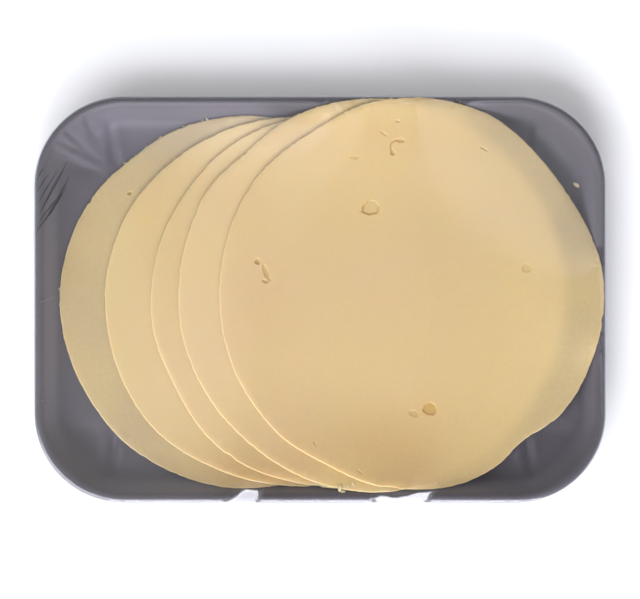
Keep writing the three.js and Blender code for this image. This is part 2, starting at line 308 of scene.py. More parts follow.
def dish(x, y):
    """A shallow hollow in each corner of the tray's floor."""
    away = np.hypot(np.abs(x) - (HALF_LENGTH - DISH_INSETS[0]), np.abs(y) - (HALF_WIDTH - DISH_INSETS[1]))
    return DISH_DEPTH * np.exp(-((away / DISH_RADIUS) ** 4))


def tray_surface(x, y):
    """The height of the tray's upper side, with the rim's crest carried out to its edge."""
    insets = [inset for inset, _ in WALL_INSIDE]
    heights = [height for _, height in WALL_INSIDE]
    plain = np.interp(np.maximum(wall_inset(x, y), RIM_INSET), insets, heights)
    return FOOT_Z + plain - grooves(x, y) - dish(x, y)


# ---- Heights on a grid: how the slices and the film settle ----
CELL = 1.0
GRID_X = np.arange(-106, 107) * CELL
GRID_Y = np.arange(-77, 78) * CELL
FIELD_X, FIELD_Y = np.meshgrid(GRID_X, GRID_Y)
SWEEPS = 700
RELAXATION = 1.86


def sample(field, x, y):
    """A field's height at any points, by bilinear interpolation."""
    column = np.clip((np.asarray(x) - GRID_X[0]) / CELL, 0, len(GRID_X) - 1.001)
    row = np.clip((np.asarray(y) - GRID_Y[0]) / CELL, 0, len(GRID_Y) - 1.001)
    left, low = column.astype(int), row.astype(int)
    u, v = column - left, row - low
    lower = field[low, left] * (1 - u) + field[low, left + 1] * u
    upper = field[low + 1, left] * (1 - u) + field[low + 1, left + 1] * u
    return lower * (1 - v) + upper * v


def neighbours(field):
    """A field shifted by one cell each way, with its edge repeated."""
    padded = np.pad(field, 1, mode="edge")
    return padded[:-2, 1:-1], padded[2:, 1:-1], padded[1:-1, :-2], padded[1:-1, 2:]


def blurred(field, times):
    """A field smoothed that many times."""
    for _ in range(times):
        field = (field * 4 + sum(neighbours(field))) / 8
    return field


def grown(field):
    """The highest of each cell and its neighbours."""
    return np.maximum.reduce([field, *neighbours(field)])


def settle(support, covers, droop, start, held=False):
    """Rests a thin sheet on its support: each point takes the mean of its neighbours, less the
    sheet's droop, and never goes below the support. A free edge has fewer neighbours, and a
    held one is tied to the support around it."""
    sheet = np.where(covers, np.maximum(start, support), support)
    weight = np.ones_like(sheet) if held else covers.astype(float)
    total = np.maximum(sum(neighbours(weight)), 1)
    checker = (np.indices(sheet.shape).sum(0) % 2).astype(bool)
    for _ in range(SWEEPS):
        for parity in (checker, ~checker):
            mean = sum(neighbours(sheet * weight)) / total - droop
            moved = np.maximum(sheet + RELAXATION * (mean - sheet), support)
            sheet = np.where(covers & parity, moved, sheet)
    return sheet


# ---- The slices' outlines ----
def edge_share(slice_, bearing):
    """A slice's reach towards a bearing in radians, as a share of its half length and width."""
    share = np.ones_like(bearing)
    for at, depth, width in slice_["flats"]:
        away = (np.degrees(bearing) - at + 180) % 360 - 180
        share -= depth * np.exp(-((away / width) ** 2))
    return share


def share_out(slice_, x, y):
    """How far out points lie from a slice's middle: 1 on its edge."""
    u, v = (x - slice_["x"]) / slice_["half"][0], (y - slice_["y"]) / slice_["half"][1]
    return np.hypot(u, v) / edge_share(slice_, np.arctan2(v, u))


def settle_slices():
    """Each slice's underside from the bottom one up, how many slices lie under each, and the
    height of the pile's top."""
    pile = tray_surface(FIELD_X, FIELD_Y)
    undersides, backings = [], []
    layers = np.zeros_like(pile)
    for slice_ in SLICES:
        out = share_out(slice_, FIELD_X, FIELD_Y)
        pull = np.minimum(1, 1 / out)
        x = slice_["x"] + (FIELD_X - slice_["x"]) * pull
        y = slice_["y"] + (FIELD_Y - slice_["y"]) * pull
        support = sample(pile, x, y) + SLICE_GAP
        covers = out < COVER_MARGIN
        underside = settle(support, covers, SLICE_DROOP, FOOT_Z + RIM_HEIGHT)
        underside = np.where(covers, np.maximum(blurred(underside, BLUR_UNDERSIDE), support), underside)
        undersides.append(underside)
        backings.append(layers.copy())
        pile = np.where(out < 1, underside + SLICE_THICKNESS, pile)
        layers += out < 1
    return undersides, backings, pile


# ---- Mesh making ----
def new_object(name, vertices, faces, attributes=()):
    """A smooth mesh piece from vertices in millimetres, with point attributes."""
    mesh = bpy.data.meshes.new(name)
    mesh.from_pydata((np.asarray(vertices) * MM).tolist(), [], [tuple(int(i) for i in f) for f in faces])
    for key, values in attributes:
        layer = mesh.attributes.new(key, "FLOAT", "POINT")
        layer.data.foreach_set("value", np.asarray(values, np.float32))
    mesh.shade_smooth()
    mesh.validate()
    piece = bpy.data.objects.new(name, mesh)
    bpy.context.scene.collection.objects.link(piece)
    return piece


def grid_faces(columns, rows, flipped=False):
    """The quads of a plan grid, facing up, or down when flipped."""
    index = np.arange((rows + 1) * (columns + 1)).reshape(rows + 1, columns + 1)
    quads = np.stack([index[:-1, :-1], index[:-1, 1:], index[1:, 1:], index[1:, :-1]], -1).reshape(-1, 4)
    return quads[:, ::-1] if flipped else quads


def band_faces(first, second):
    """Quads between two closed loops of vertex indices."""
    return np.stack([first, second, np.roll(second, -1), np.roll(first, -1)], -1)


def value_noise(x, y, size, salt=0.0):
    """Smooth noise between about -1 and 1, with features of a size in millimetres."""
    places = zip(np.ravel(x) / size, np.ravel(y) / size)
    return np.array([noise.noise(Vector((across, along, salt))) for across, along in places])


# ---- The tray ----
def border_directions(columns, rows):
    """The directions, on a square, of a plan grid's border points."""
    u, v = np.meshgrid(np.linspace(-1, 1, columns + 1), np.linspace(-1, 1, rows + 1))
    border = perimeter(columns, rows)
    return u.ravel()[border], v.ravel()[border]


def build_tray():
    """The tray as one shell: its floor, its base and the loops of its wall between them."""
    border = perimeter(TRAY_COLUMNS, TRAY_ROWS)
    u, v = border_directions(TRAY_COLUMNS, TRAY_ROWS)
    x, y = plan_grid(FLOOR_INSET, TRAY_COLUMNS, TRAY_ROWS)
    x, y = x.ravel(), y.ravel()
    floor = np.column_stack([x, y, tray_surface(x, y)])
    step = BASE_STEP * smooth_step(*BASE_STEP_INSETS, inset_at(x, y)) + BASE_LIFT
    base = np.column_stack([x, y, FOOT_Z + step])
    vertices = [floor, base]
    faces = [grid_faces(TRAY_COLUMNS, TRAY_ROWS), grid_faces(TRAY_COLUMNS, TRAY_ROWS, True) + len(floor)]
    loops = [border]
    count = 2 * len(floor)
    for inset, height in [*WALL_INSIDE[-2::-1], *WALL_OUTSIDE[:0:-1]]:
        ring_x, ring_y = boundary(u, v, inset)
        z = np.full(ring_x.shape, FOOT_Z + height)
        if inset > RIM_INSET and (inset, height) in WALL_INSIDE:
            z = tray_surface(ring_x, ring_y)
        vertices.append(np.column_stack([ring_x, ring_y, z]))
        loops.append(np.arange(count, count + len(border)))
        count += len(border)
    loops.append(border + len(floor))
    faces += [band_faces(a, b) for a, b in zip(loops, loops[1:])]
    vertices = np.vstack(vertices)
    ripple = value_noise(vertices[:, 0], vertices[:, 1], RIPPLE_SIZE, 3) * RIPPLE_HEIGHT
    vertices[:, 2] += np.where(vertices[:, 2] > FOOT_Z + EVEN_FOOT, ripple, 0)
    tray = new_object("tray_body", vertices, np.vstack(faces))
    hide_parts("foam_tray")
    return tray


# ---- The slices ----
def segment_distance(x, y, start, end):
    """The distance of points from a straight segment."""
    dx, dy = end[0] - start[0], end[1] - start[1]
    along = np.clip(((x - start[0]) * dx + (y - start[1]) * dy) / (dx * dx + dy * dy), 0, 1)
    return np.hypot(x - start[0] - along * dx, y - start[1] - along * dy)


def marks(number, x, y):
    """At points of a slice's upper face: the depth of its eyes and cracks, and how golden their
    walls and their hollows are there, from 0 to 1. The walls' share also carries painted shade,
    strongest on each eye's lower-left side and along the cracks."""
    depth, wall, hollow = np.zeros_like(x), np.zeros_like(x), np.zeros_like(x)
    for eye in EYES.get(number, []):
        turn = math.radians(eye["turn"])
        dx, dy = x - eye["at"][0], y - eye["at"][1]
        along = (dx * math.cos(turn) + dy * math.sin(turn)) / eye["half"][0]
        across = (dy * math.cos(turn) - dx * math.sin(turn)) / eye["half"][1]
        bearing = np.arctan2(across, along)
        ragged = 0.06 * np.sin(3 * bearing + 1) + 0.04 * np.sin(7 * bearing) + 0.03 * np.sin(13 * bearing)
        out = np.hypot(along, across) * (1 + ragged)
        inside = 1 - smooth_step(0.8, 1.0, out)
        depth = np.maximum(depth, eye["depth"] * inside * (0.8 + 0.2 * np.clip(1 - out * out, 0, 1)))
        # Painted shade: the eye's wall is painted more golden and darker on its lower-left side.
        shaded = 0.7 + 0.3 * np.cos(bearing + turn - math.radians(215))
        wall = np.maximum(wall, eye["wall"] * shaded * np.exp(-(((out - 0.88) / 0.13) ** 2)))
        hollow = np.maximum(hollow, eye["hollow"] * inside)
    for crack in CRACKS.get(number, []):
        points = crack["line"]
        away = np.min([segment_distance(x, y, a, b) for a, b in zip(points, points[1:])], axis=0)
        away = away / crack["width"]
        depth = np.maximum(depth, crack["depth"] * (1 - smooth_step(0.3, 1.0, away)))
        # Painted shade along each crack.
        wall = np.maximum(wall, crack["dark"] * np.exp(-((away / 0.8) ** 2)))
    return depth, wall, hollow


def near_marks(number, x, y, margin):
    """Whether points lie within a margin of a slice's eyes and cracks."""
    near = np.zeros(x.shape, bool)
    for eye in EYES.get(number, []):
        near |= np.hypot(x - eye["at"][0], y - eye["at"][1]) < max(eye["half"]) + margin
    for crack in CRACKS.get(number, []):
        points = crack["line"]
        for start, end in zip(points, points[1:]):
            near |= segment_distance(x, y, start, end) < crack["width"] + margin
    return near


def staggered(slice_, spacing):
    """Points in staggered rows over a slice's box."""
    half_x, half_y = slice_["half"]
    rows = np.arange(-half_y, half_y, spacing * math.sqrt(3) / 2)
    columns = np.arange(-half_x, half_x, spacing)
    x, y = np.meshgrid(columns, rows)
    x = x + (np.arange(len(rows)) % 2 * spacing / 2)[:, None]
    return x.ravel() + slice_["x"], y.ravel() + slice_["y"]


def slice_rim(slice_, number):
    """A slice's outline, with the uneven, slightly crumbly edge that a blade leaves."""
    count = int(2 * math.pi * slice_["half"][0] / EDGE_STEP)
    bearing = np.arange(count) / count * 2 * math.pi
    reach = edge_share(slice_, bearing)
    unit_x, unit_y = np.cos(bearing), np.sin(bearing)

    def uneven(size, salt):
        return value_noise(unit_x * SLICE_RADIUS, unit_y * SLICE_RADIUS, size, number * salt)

    away = (np.degrees(bearing) - CRUMBLY_BEARING) / CRUMBLY_SPREAD
    crumbly = 0.12 + 0.3 * np.exp(-(away**2))
    nibble = np.minimum(uneven(4.5, 3.7) + 0.3, 0)
    offset = 0.3 * uneven(24, 9.1) + 0.14 * uneven(2.6, 5.3) + crumbly * uneven(0.8, 7.9) + 0.9 * nibble
    x = slice_["x"] + (reach * slice_["half"][0] + offset) * unit_x
    y = slice_["y"] + (reach * slice_["half"][1] + offset) * unit_y
    return x, y, unit_x, unit_y


def ochre_share(number, x, y):
    """How far the cheese is turned to a darker ochre, from 0 to 1."""
    ochre_patch = np.zeros_like(x)
    for at_x, at_y, size_x, size_y, strength in OCHRE_PATCHES.get(number, []):
        ochre_patch += strength * np.exp(-(((x - at_x) / size_x) ** 2) - (((y - at_y) / size_y) ** 2))
    return ochre_patch


def shade_beside_edge(number, x, y):
    """How close a point lies to the edge of the slice above it, from 0 to 1: the strength of the shade
    painted there.
    """
    if number + 1 == len(SLICES):
        return np.zeros_like(x)
    above = SLICES[number + 1]
    away = (share_out(above, x, y) - 1) * above["half"][0]
    return np.exp(-np.abs(away) / EDGE_SHADE_REACH)


def slice_points(slice_, number, inner_x, inner_y):
    """The plan of a slice's two faces: points, which begin with those along its edge and are
    denser round its marks, and the triangles between them."""
    coarse_x, coarse_y = staggered(slice_, COARSE)
    coarse = share_out(slice_, coarse_x, coarse_y) < 1 - COARSE_MARGIN / SLICE_RADIUS
    coarse &= ~near_marks(number, coarse_x, coarse_y, COARSE_CLEAR)
    fine_x, fine_y = staggered(slice_, FINE)
    fine = share_out(slice_, fine_x, fine_y) < 1 - FINE_MARGIN / SLICE_RADIUS
    fine &= near_marks(number, fine_x, fine_y, FINE_REACH)
    x = np.concatenate([inner_x, coarse_x[coarse], fine_x[fine]])
    y = np.concatenate([inner_y, coarse_y[coarse], fine_y[fine]])
    count = len(inner_x)
    border = [(i, (i + 1) % count) for i in range(count)]
    points, _, triangles, *_ = delaunay_2d_cdt([Vector(p) for p in zip(x, y)], border, [], 1, 1e-6)
    return np.array([p.x for p in points]), np.array([p.y for p in points]), np.array(triangles)


def build_slice(number, underside, backing, material):
    """A slice: its upper face with its marks, its lower face, and the loops of its edge."""
    slice_ = SLICES[number]
    rim_x, rim_y, unit_x, unit_y = slice_rim(slice_, number)
    inner_x, inner_y = rim_x - FACE_MARGIN * unit_x, rim_y - FACE_MARGIN * unit_y
    x, y, triangles = slice_points(slice_, number, inner_x, inner_y)
    low = sample(underside, x, y)
    mark, golden_wall_and_shade, golden_hollow = marks(number, x, y)
    wobble = value_noise(x, y, WOBBLE_SIZE, number * 2.3) * WOBBLE_HEIGHT
    vertices = [np.column_stack([x, y, low + SLICE_THICKNESS - mark + wobble]), np.column_stack([x, y, low])]
    size, count = len(x), len(rim_x)
    loops = [np.arange(count)]
    for step, (inward, down) in enumerate(EDGE_PROFILE):
        loop_z = sample(underside, inner_x, inner_y) + SLICE_THICKNESS * (1 - down)
        vertices.append(np.column_stack([rim_x - inward * unit_x, rim_y - inward * unit_y, loop_z]))
        loops.append(np.arange(count) + 2 * size + step * count)
    loops.append(np.arange(count) + size)
    faces = [tuple(t) for t in triangles] + [tuple(t[::-1] + size) for t in triangles]
    faces += [tuple(quad) for a, b in zip(loops, loops[1:]) for quad in band_faces(a, b)]
    vertices = np.vstack(vertices)
    cut_highlight, hollow, wall = np.zeros((3, len(vertices)))
    # The edge loops get a painted highlight: a paler colour along the cut edge.
    cut_highlight[2 * size:] = 1
    hollow[:size] = golden_hollow
    wall[:size] = golden_wall_and_shade
    place_x, place_y = vertices[:, 0], vertices[:, 1]
    attributes = [
        ("cut_highlight", cut_highlight),
        ("hollow", hollow),
        ("wall", wall),
        ("backing", sample(blurred(backing, BLUR_BACKING), place_x, place_y)),
        ("ochre_patch", ochre_share(number, place_x, place_y)),
        # crease: painted shade beside the edge of the slice above
        ("crease", shade_beside_edge(number, place_x, place_y)),
    ]
    piece = new_object(f"slice_{number + 1}", vertices, faces, attributes)
    piece.data.materials.append(material)
    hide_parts(f"cheese_slice_{number + 1}")
    return piece


# ---- The film ----
def corner_ridges():
    """Faint stretch lines over the corners: the two ends, half width and height of each."""
    random = np.random.default_rng(SEED)
    ridges = []
    for sign_x in (-1, 1):
        for sign_y in (-1, 1):
            for _ in range(RIDGES_PER_CORNER):
                turn = random.uniform(0.15, 1.4)
                reach = random.uniform(10, 26)
                start_x = sign_x * (HALF_LENGTH - CORNER_RADIUS + (CORNER_RADIUS - 3) * math.cos(turn))
                start_y = sign_y * (HALF_WIDTH - CORNER_RADIUS + (CORNER_RADIUS - 3) * math.sin(turn))
                aim = turn + random.normal(0, 0.12)
                end = (start_x - sign_x * reach * math.cos(aim), start_y - sign_y * reach * math.sin(aim))
                width, height = random.uniform(0.9, 1.8), random.uniform(0.02, 0.05)
                ridges.append(((start_x, start_y), end, width, height))
    return ridges


def film_relief(x, y):
    """The height that the film's stretch lines add."""
    relief = np.zeros_like(x)
    for start, end, width, height in corner_ridges():
        away = segment_distance(x, y, start, end)
        dx, dy = end[0] - start[0], end[1] - start[1]
        along = ((x - start[0]) * dx + (y - start[1]) * dy) / (dx * dx + dy * dy)
        fade = smooth_step(-0.1, 0.2, along) * (1 - smooth_step(0.6, 1.05, along))
        relief += height * fade * np.exp(-((away / width) ** 2))
    return relief


def facet_height(x, y):
    """The height of the film's flat facets at any points, falling off steeply round each."""
    inset = HALF_WIDTH + y
    plane = FOOT_Z + RIM_HEIGHT + FILM_LIFT - FACET_FOOT + FACET_SLOPE * (inset + FILM_OUT)
    height = np.full_like(x, -np.inf)
    for outline in FACETS:
        away = outline_distance(x, inset, outline)
        height = np.maximum(height, plane - FACET_SIDES * np.maximum(away, 0))
    return height


def outline_distance(x, y, outline):
    """The distance of points from a closed outline; zero inside it."""
    away = np.full_like(x, np.inf)
    inside = np.zeros(x.shape, bool)
    for (start_x, start_y), (end_x, end_y) in zip(outline, outline[1:] + outline[:1]):
        away = np.minimum(away, segment_distance(x, y, (start_x, start_y), (end_x, end_y)))
        if start_y != end_y:
            crossing = start_x + (y - start_y) / (end_y - start_y) * (end_x - start_x)
            inside ^= ((start_y > y) != (end_y > y)) & (x < crossing)
    return np.where(inside, 0, away)


def film_top(pile):
    """The film's height over the grid: taut from rim to rim over the pile."""
    support = grown(np.maximum(pile, tray_surface(FIELD_X, FIELD_Y))) + FILM_LIFT
    inside = inset_at(FIELD_X, FIELD_Y) > RIM_INSET
    return settle(support, inside, 0, FOOT_Z + RIM_HEIGHT, held=True)


def film_path():
    """The film's way from the rim down the wall and under the base: distance in, height and how
    loosely it lies."""
    crest = FOOT_Z + RIM_HEIGHT + FILM_LIFT
    path = [(inset, crest - drop, looseness) for inset, drop, looseness in FILM_OVER_RIM]
    for share in (0, 0.12, 0.25, 0.4, 0.55, 0.7, 0.85, 1):
        inset = -FILM_OUT + share * (FILM_WALL_FOOT_INSET + FILM_OUT)
        path.append((inset, FOOT_Z + FILM_WALL_TOP - share * FILM_WALL_DROP, 0.12 + 0.75 * share))
    path += [(6.5, FOOT_Z + 2.1, 0.9), (7.7, FOOT_Z + 0.9, 0.8), (9.1, 0.75, 0.6), (10.4, 0.35, 0.3)]
    path += [(11.6, 0.18, 0.1), (13, FILM_FLOOR_Z, 0)]
    for inset in (15, 17, 20, 23, 26, 29, FILM_OPENING_INSET):
        path.append((inset, FILM_FLOOR_Z, 0))
    return path


def film_loops(crest_z):
    """The points of the film's loops below its top, pleated where they gather at the corners.
    crest_z is the height of the film's top along its border."""
    u, v = border_directions(FILM_COLUMNS, FILM_ROWS)
    corner = 1 - np.abs(np.abs(u) - np.abs(v))  # 1 in the middle of a corner, 0 at a side's middle
    way = np.arange(len(u)) / len(u)
    wave = np.abs(np.sin(way * math.pi * PLEATS + 2.2 * np.sin(way * 41)))
    pleat = smooth_step(*GATHER, corner) * (1 - wave) ** 1.6
    slack = value_noise(u * 60, v * 60, 5.5, 1.7) * 0.5 + 0.5
    edge_x, edge_y = boundary(u, v, 0)
    inner_x, inner_y = boundary(u, v, 1)
    away = np.hypot(edge_x - inner_x, edge_y - inner_y)
    loops = []
    for number, (inset, height, looseness) in enumerate(film_path()):
        out = max(-inset, 0) + looseness * (PLEAT_DEPTH * pleat + SLACK_DEPTH * slack)
        x, y = boundary(u, v, max(inset, 0))
        x, y = x + (edge_x - inner_x) / away * out, y + (edge_y - inner_y) / away * out
        z = np.full(len(u), float(height))
        if number < len(FILM_OVER_RIM):
            z = np.maximum(crest_z - FILM_OVER_RIM[number][1], facet_height(x, y))
        if inset > UNDER_INSET:
            z = z + PLEAT_DROP * pleat + SLACK_DROP * slack
        loops.append(np.column_stack([x, y, z]))
    return loops


def build_film(pile, roof, material):
    """The film as one sheet: its top, then its loops down the walls and under the base."""
    x, y = plan_grid(FILM_TOP_INSET, FILM_COLUMNS, FILM_ROWS)
    x, y = x.ravel(), y.ravel()
    free = smooth_step(*FREE_GAPS, sample(roof, x, y) - sample(pile, x, y) - FILM_LIFT)
    z = sample(roof, x, y) + film_relief(x, y) * (HELD_RELIEF + (1 - HELD_RELIEF) * free)
    border = perimeter(FILM_COLUMNS, FILM_ROWS)
    vertices = [np.column_stack([x, y, np.maximum(z, facet_height(x, y))]), *film_loops(z[border])]
    starts = len(x) + np.arange(len(vertices) - 1) * len(border)
    loops = [border, *(np.arange(len(border)) + start for start in starts)]
    faces = [grid_faces(FILM_COLUMNS, FILM_ROWS)]
    faces += [band_faces(a, b) for a, b in zip(loops, loops[1:])]
    film = new_object("film_sheet", np.vstack(vertices), np.vstack(faces))
    film.data.materials.append(material)
    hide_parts("stretch_film")
    return film


def build_folds(roof, material):
    """The sharp folds: narrow pinched ridges that taper to nothing at both ends, with one
    shiny edge."""
    vertices, faces, shine = [], [], []
    for (start_x, start_y), (end_x, end_y), width in FOLDS:
        length = math.hypot(end_x - start_x, end_y - start_y)
        side_x, side_y = -(end_y - start_y) / length, (end_x - start_x) / length
        base = len(vertices)
        for step in range(FOLD_STEPS + 1):
            along = step / FOLD_STEPS
            half = 0.5 * width * math.sin(math.pi * min(max(along, 0.03), 0.97)) ** 0.7
            bend = FOLD_BEND * math.sin(along * 4 + start_x)
            x = start_x + (end_x - start_x) * along + side_x * bend
            y = start_y + (end_y - start_y) * along + side_y * bend
            z = float(sample(roof, x, y)) + FOLD_LIFT
            for across, lift, shiny in FOLD_SECTION:
                vertices.append((x + across * side_x * half, y + across * side_y * half, z + lift * half))
                shine.append(shiny)
        for step in range(FOLD_STEPS):
            a, b = base + 3 * step, base + 3 * step + 3
            faces += [(a, b, b + 1, a + 1), (a + 1, b + 1, b + 2, a + 2)]
    folds = new_object("film_folds", vertices, faces, [("shine", shine)])
    folds.data.materials.append(material)
    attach(folds, "root")
    return folds


# ---- Crumbs ----
def crumb_places():
    """Each crumb's place and half length: those lying loose, and those on the slices' edges."""
    places = list(CRUMBS)
    for number, crumbs in EDGE_CRUMBS.items():
        slice_ = SLICES[number]
        for at, half in crumbs:
            bearing = math.radians(at)
            reach = float(edge_share(slice_, np.array([bearing]))[0])
            out = 0.3 * half
            x = slice_["x"] + (reach * slice_["half"][0] + out) * math.cos(bearing)
            y = slice_["y"] + (reach * slice_["half"][1] + out) * math.sin(bearing)
            places.append((x, y, half))
    return places


def build_crumbs(pile, material):
    """Loose crumbs of cheese, as one piece of small uneven lumps."""
    vertices, faces = [], []
    for number, (x, y, half) in enumerate(crumb_places()):
        lump, lump_faces = lump_shape(number, half)
        base = len(vertices)
        ground = float(sample(pile, x, y))
        vertices += [(x + px, y + py, ground + pz) for px, py, pz in lump]
        faces += [tuple(i + base for i in face) for face in lump_faces]
    # The crumbs take the cut edges' painted highlight colour, more strongly.
    attributes = [("cut_highlight", [CRUMB_PALENESS] * len(vertices)), ("backing", [len(SLICES)] * len(vertices))]
    crumbs = new_object("crumbs", vertices, faces, attributes)
    crumbs.data.materials.append(material)
    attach(crumbs, "root")
    return crumbs


def lump_shape(number, half):
    """An uneven lump: rings of points round a bent long axis, closed at both ends."""
    rings, sides = 5, 7
    turn = number * 1.9 - 0.6
    points = [(-half, 0, 0.2)]
    for ring in range(1, rings):
        along = -math.cos(ring / rings * math.pi)
        wide = math.sin(ring / rings * math.pi)
        for side in range(sides):
            angle = side / sides * 2 * math.pi
            rough = 1 + 0.3 * noise.noise(Vector((along * 2, angle, number * 3.1)))
            reach = half * 0.5 * wide * rough
            points.append((half * along, reach * math.cos(angle), 0.5 * reach * (1 + math.sin(angle))))
    points.append((half, 0, 0.2))
    turned = [(x * math.cos(turn) - y * math.sin(turn), x * math.sin(turn) + y * math.cos(turn), z)
              for x, y, z in points]
    faces = []
    last = len(points) - 1
    for side in range(sides):
        after = (side + 1) % sides
        faces.append((0, 1 + after, 1 + side))
        for ring in range(rings - 2):
            a, b = 1 + ring * sides, 1 + (ring + 1) * sides
            faces.append((a + side, a + after, b + after, b + side))
        end = 1 + (rings - 2) * sides
        faces.append((end + side, end + after, last))
    return turned, faces


# ---- Materials ----
def srgb(red, green, blue):
    """A colour given as it looks on screen, 0 to 255, in the linear values that nodes take."""
    def linear(value):
        share = value / 255
        return share / 12.92 if share <= 0.04045 else ((share + 0.055) / 1.055) ** 2.4
    return (linear(red), linear(green), linear(blue), 1.0)


# The cheese's colours: one thin slice over the dark tray, two, and more; darker ochre patches; in
# faint clouds; painted shade where another slice's edge shades it; pale specks and the painted
# highlight on the cut edges; and in the eyes, golden with painted shade.
CHEESE_THIN = srgb(180, 160, 120)
CHEESE_DOUBLE = srgb(208, 182, 132)
CHEESE_DEEP = srgb(212, 184, 138)
CHEESE_OCHRE = srgb(196, 161, 106)
CHEESE_CLOUD = srgb(212, 188, 124)
CHEESE_SHADE = srgb(150, 112, 72)
# Pale specks, and the painted highlight along the cut edges.
CHEESE_SPECK_AND_EDGE_HIGHLIGHT = srgb(224, 200, 156)
CHEESE_HOLLOW = srgb(198, 159, 86)
CHEESE_GOLDEN_WALL_AND_SHADE = srgb(190, 146, 74)


class Nodes:
    """A short way to lay out a material's nodes."""

    def __init__(self, name):
        self.material = bpy.data.materials.new(name)
        self.material.use_nodes = True
        self.tree = self.material.node_tree
        self.tree.nodes.clear()
        self.output = self.tree.nodes.new("ShaderNodeOutputMaterial")

    def add(self, kind, settings=None, **inputs):
        node = self.tree.nodes.new("ShaderNode" + kind)
        for key, value in (settings or {}).items():
            setattr(node, key, value)
        for key, value in inputs.items():
            socket = node.inputs[int(key[1:])] if key[1:].isdigit() else node.inputs[key.replace("_", " ")]
            self.set(socket, value)
        return node

    def set(self, socket, value):
        if isinstance(value, bpy.types.NodeSocket):
            self.tree.links.new(value, socket)
        else:
            socket.default_value = value

    def place(self):
        return self.add("TexCoord").outputs["Object"]

    def noise(self, scale, detail=3.0, roughness=0.55, vector=None):
        node = self.add("TexNoise", Scale=scale, Detail=detail, Roughness=roughness)
        self.set(node.inputs["Vector"], vector or self.place())
        return node.outputs["Fac"]

    def math(self, operation, a, b=0.0, clamp=False):
        node = self.add("Math", {"operation": operation, "use_clamp": clamp})
        self.set(node.inputs[0], a)
        self.set(node.inputs[1], b)
        return node.outputs[0]

    def fit(self, value, low, high, new_low=0.0, new_high=1.0):
        node = self.add("MapRange", None)
        self.set(node.inputs["Value"], value)
        for key, number in zip(("From Min", "From Max", "To Min", "To Max"), (low, high, new_low, new_high)):
            node.inputs[key].default_value = number
        return node.outputs["Result"]

    def mix(self, factor, a, b, blend="MIX"):
        node = self.add("Mix", {"data_type": "RGBA", "blend_type": blend})
        self.set(node.inputs[0], factor)
        self.set(node.inputs[6], a)
        self.set(node.inputs[7], b)
        return node.outputs[2]

    def attribute(self, name):
        return self.add("Attribute", {"attribute_name": name}).outputs["Fac"]

    def bump(self, height, distance, strength=1.0, normal=None):
        node = self.add("Bump", Strength=strength, Distance=distance)
        self.set(node.inputs["Height"], height)
        if normal:
            self.set(node.inputs["Normal"], normal)
        return node.outputs["Normal"]

    def finish(self, shader):
        self.tree.links.new(shader, self.output.inputs["Surface"])
        return self.material


def cheese_material():
    """Semi-hard cheese: pale yellow, greyer where one thin slice lies over the dark tray."""
    n = Nodes("cheese")
    backing = n.attribute("backing")
    colour = n.mix(n.fit(backing, 0.0, 1.0), CHEESE_THIN, CHEESE_DOUBLE)
    colour = n.mix(n.fit(backing, 1.0, 3.0), colour, CHEESE_DEEP)
    colour = n.mix(n.math("MULTIPLY", n.attribute("ochre_patch"), 0.9, clamp=True), colour, CHEESE_OCHRE)
    cloudy = n.fit(n.noise(24, 2, 0.5), 0.35, 0.65)
    colour = n.mix(n.math("MULTIPLY", cloudy, 0.4), colour, CHEESE_CLOUD)
    speckle = n.fit(n.noise(800, 2, 0.6), 0.42, 0.62)
    colour = n.mix(n.math("MULTIPLY", speckle, 0.10), colour, CHEESE_SPECK_AND_EDGE_HIGHLIGHT)
    # Painted shade beside the edge of the slice above.
    colour = n.mix(n.math("MULTIPLY", n.attribute("crease"), 0.08), colour, CHEESE_SHADE)
    # Painted highlight along the slices' cut edges and on the crumbs.
    colour = n.mix(n.math("MULTIPLY", n.attribute("cut_highlight"), 0.5), colour, CHEESE_SPECK_AND_EDGE_HIGHLIGHT)
    colour = n.mix(n.math("MULTIPLY", n.attribute("hollow"), 0.8), colour, CHEESE_HOLLOW)
    # Golden eye walls, with painted shade on their lower-left sides and along the cracks.
    colour = n.mix(n.math("MULTIPLY", n.attribute("wall"), 0.75), colour, CHEESE_GOLDEN_WALL_AND_SHADE)
    grain = n.noise(520, 3, 0.5)
    relief = n.bump(grain, 0.00006, 0.35)
    roughness = n.fit(n.noise(160, 3), 0.3, 0.7, 0.38, 0.56)
    shader = n.add(
        "BsdfPrincipled",
        Base_Color=colour,
        Roughness=roughness,
        Normal=relief,
        Subsurface_Weight=0.8,
        Subsurface_Radius=(0.0026, 0.0017, 0.0009),
        Subsurface_Scale=1.0,
        IOR=1.45,
    )
    return n.finish(shader.outputs[0])


def foam_material():
    """Grey foamed polystyrene: a satin skin over beads, with tiny bright specks painted in as sparkle."""
    n = Nodes("foam")
    beads = n.add("TexVoronoi", {"feature": "F1"}, Scale=1300.0, Vector=n.place()).outputs["Distance"]
    fine = n.noise(3100, 2, 0.8)
    cloudy = n.noise(34, 3, 0.5)
    colour = n.mix(n.fit(cloudy, 0.35, 0.65), srgb(55, 49, 56), srgb(63, 57, 67))
    # Painted sparkle: tiny bright specks in the foam's colour stand in for glints on its beads.
    colour = n.mix(n.fit(fine, 0.58, 0.75, 0, 0.45), colour, srgb(126, 121, 140))
    colour = n.mix(n.fit(beads, 0.0, 0.5, 0.1, 0), colour, srgb(58, 53, 58))
    relief = n.bump(beads, 0.00002, 0.12)
    relief = n.bump(fine, 0.00008, 0.25, relief)
    roughness = n.fit(fine, 0.35, 0.7, 0.66, 0.5)
    shader = n.add(
        "BsdfPrincipled",
        Base_Color=colour,
        Roughness=roughness,
        Normal=relief,
        Specular_IOR_Level=0.7,
        Sheen_Weight=1.0,
        Sheen_Roughness=0.45,
        Sheen_Tint=(0.9, 0.9, 1.0, 1),
    )
    return n.finish(shader.outputs[0])


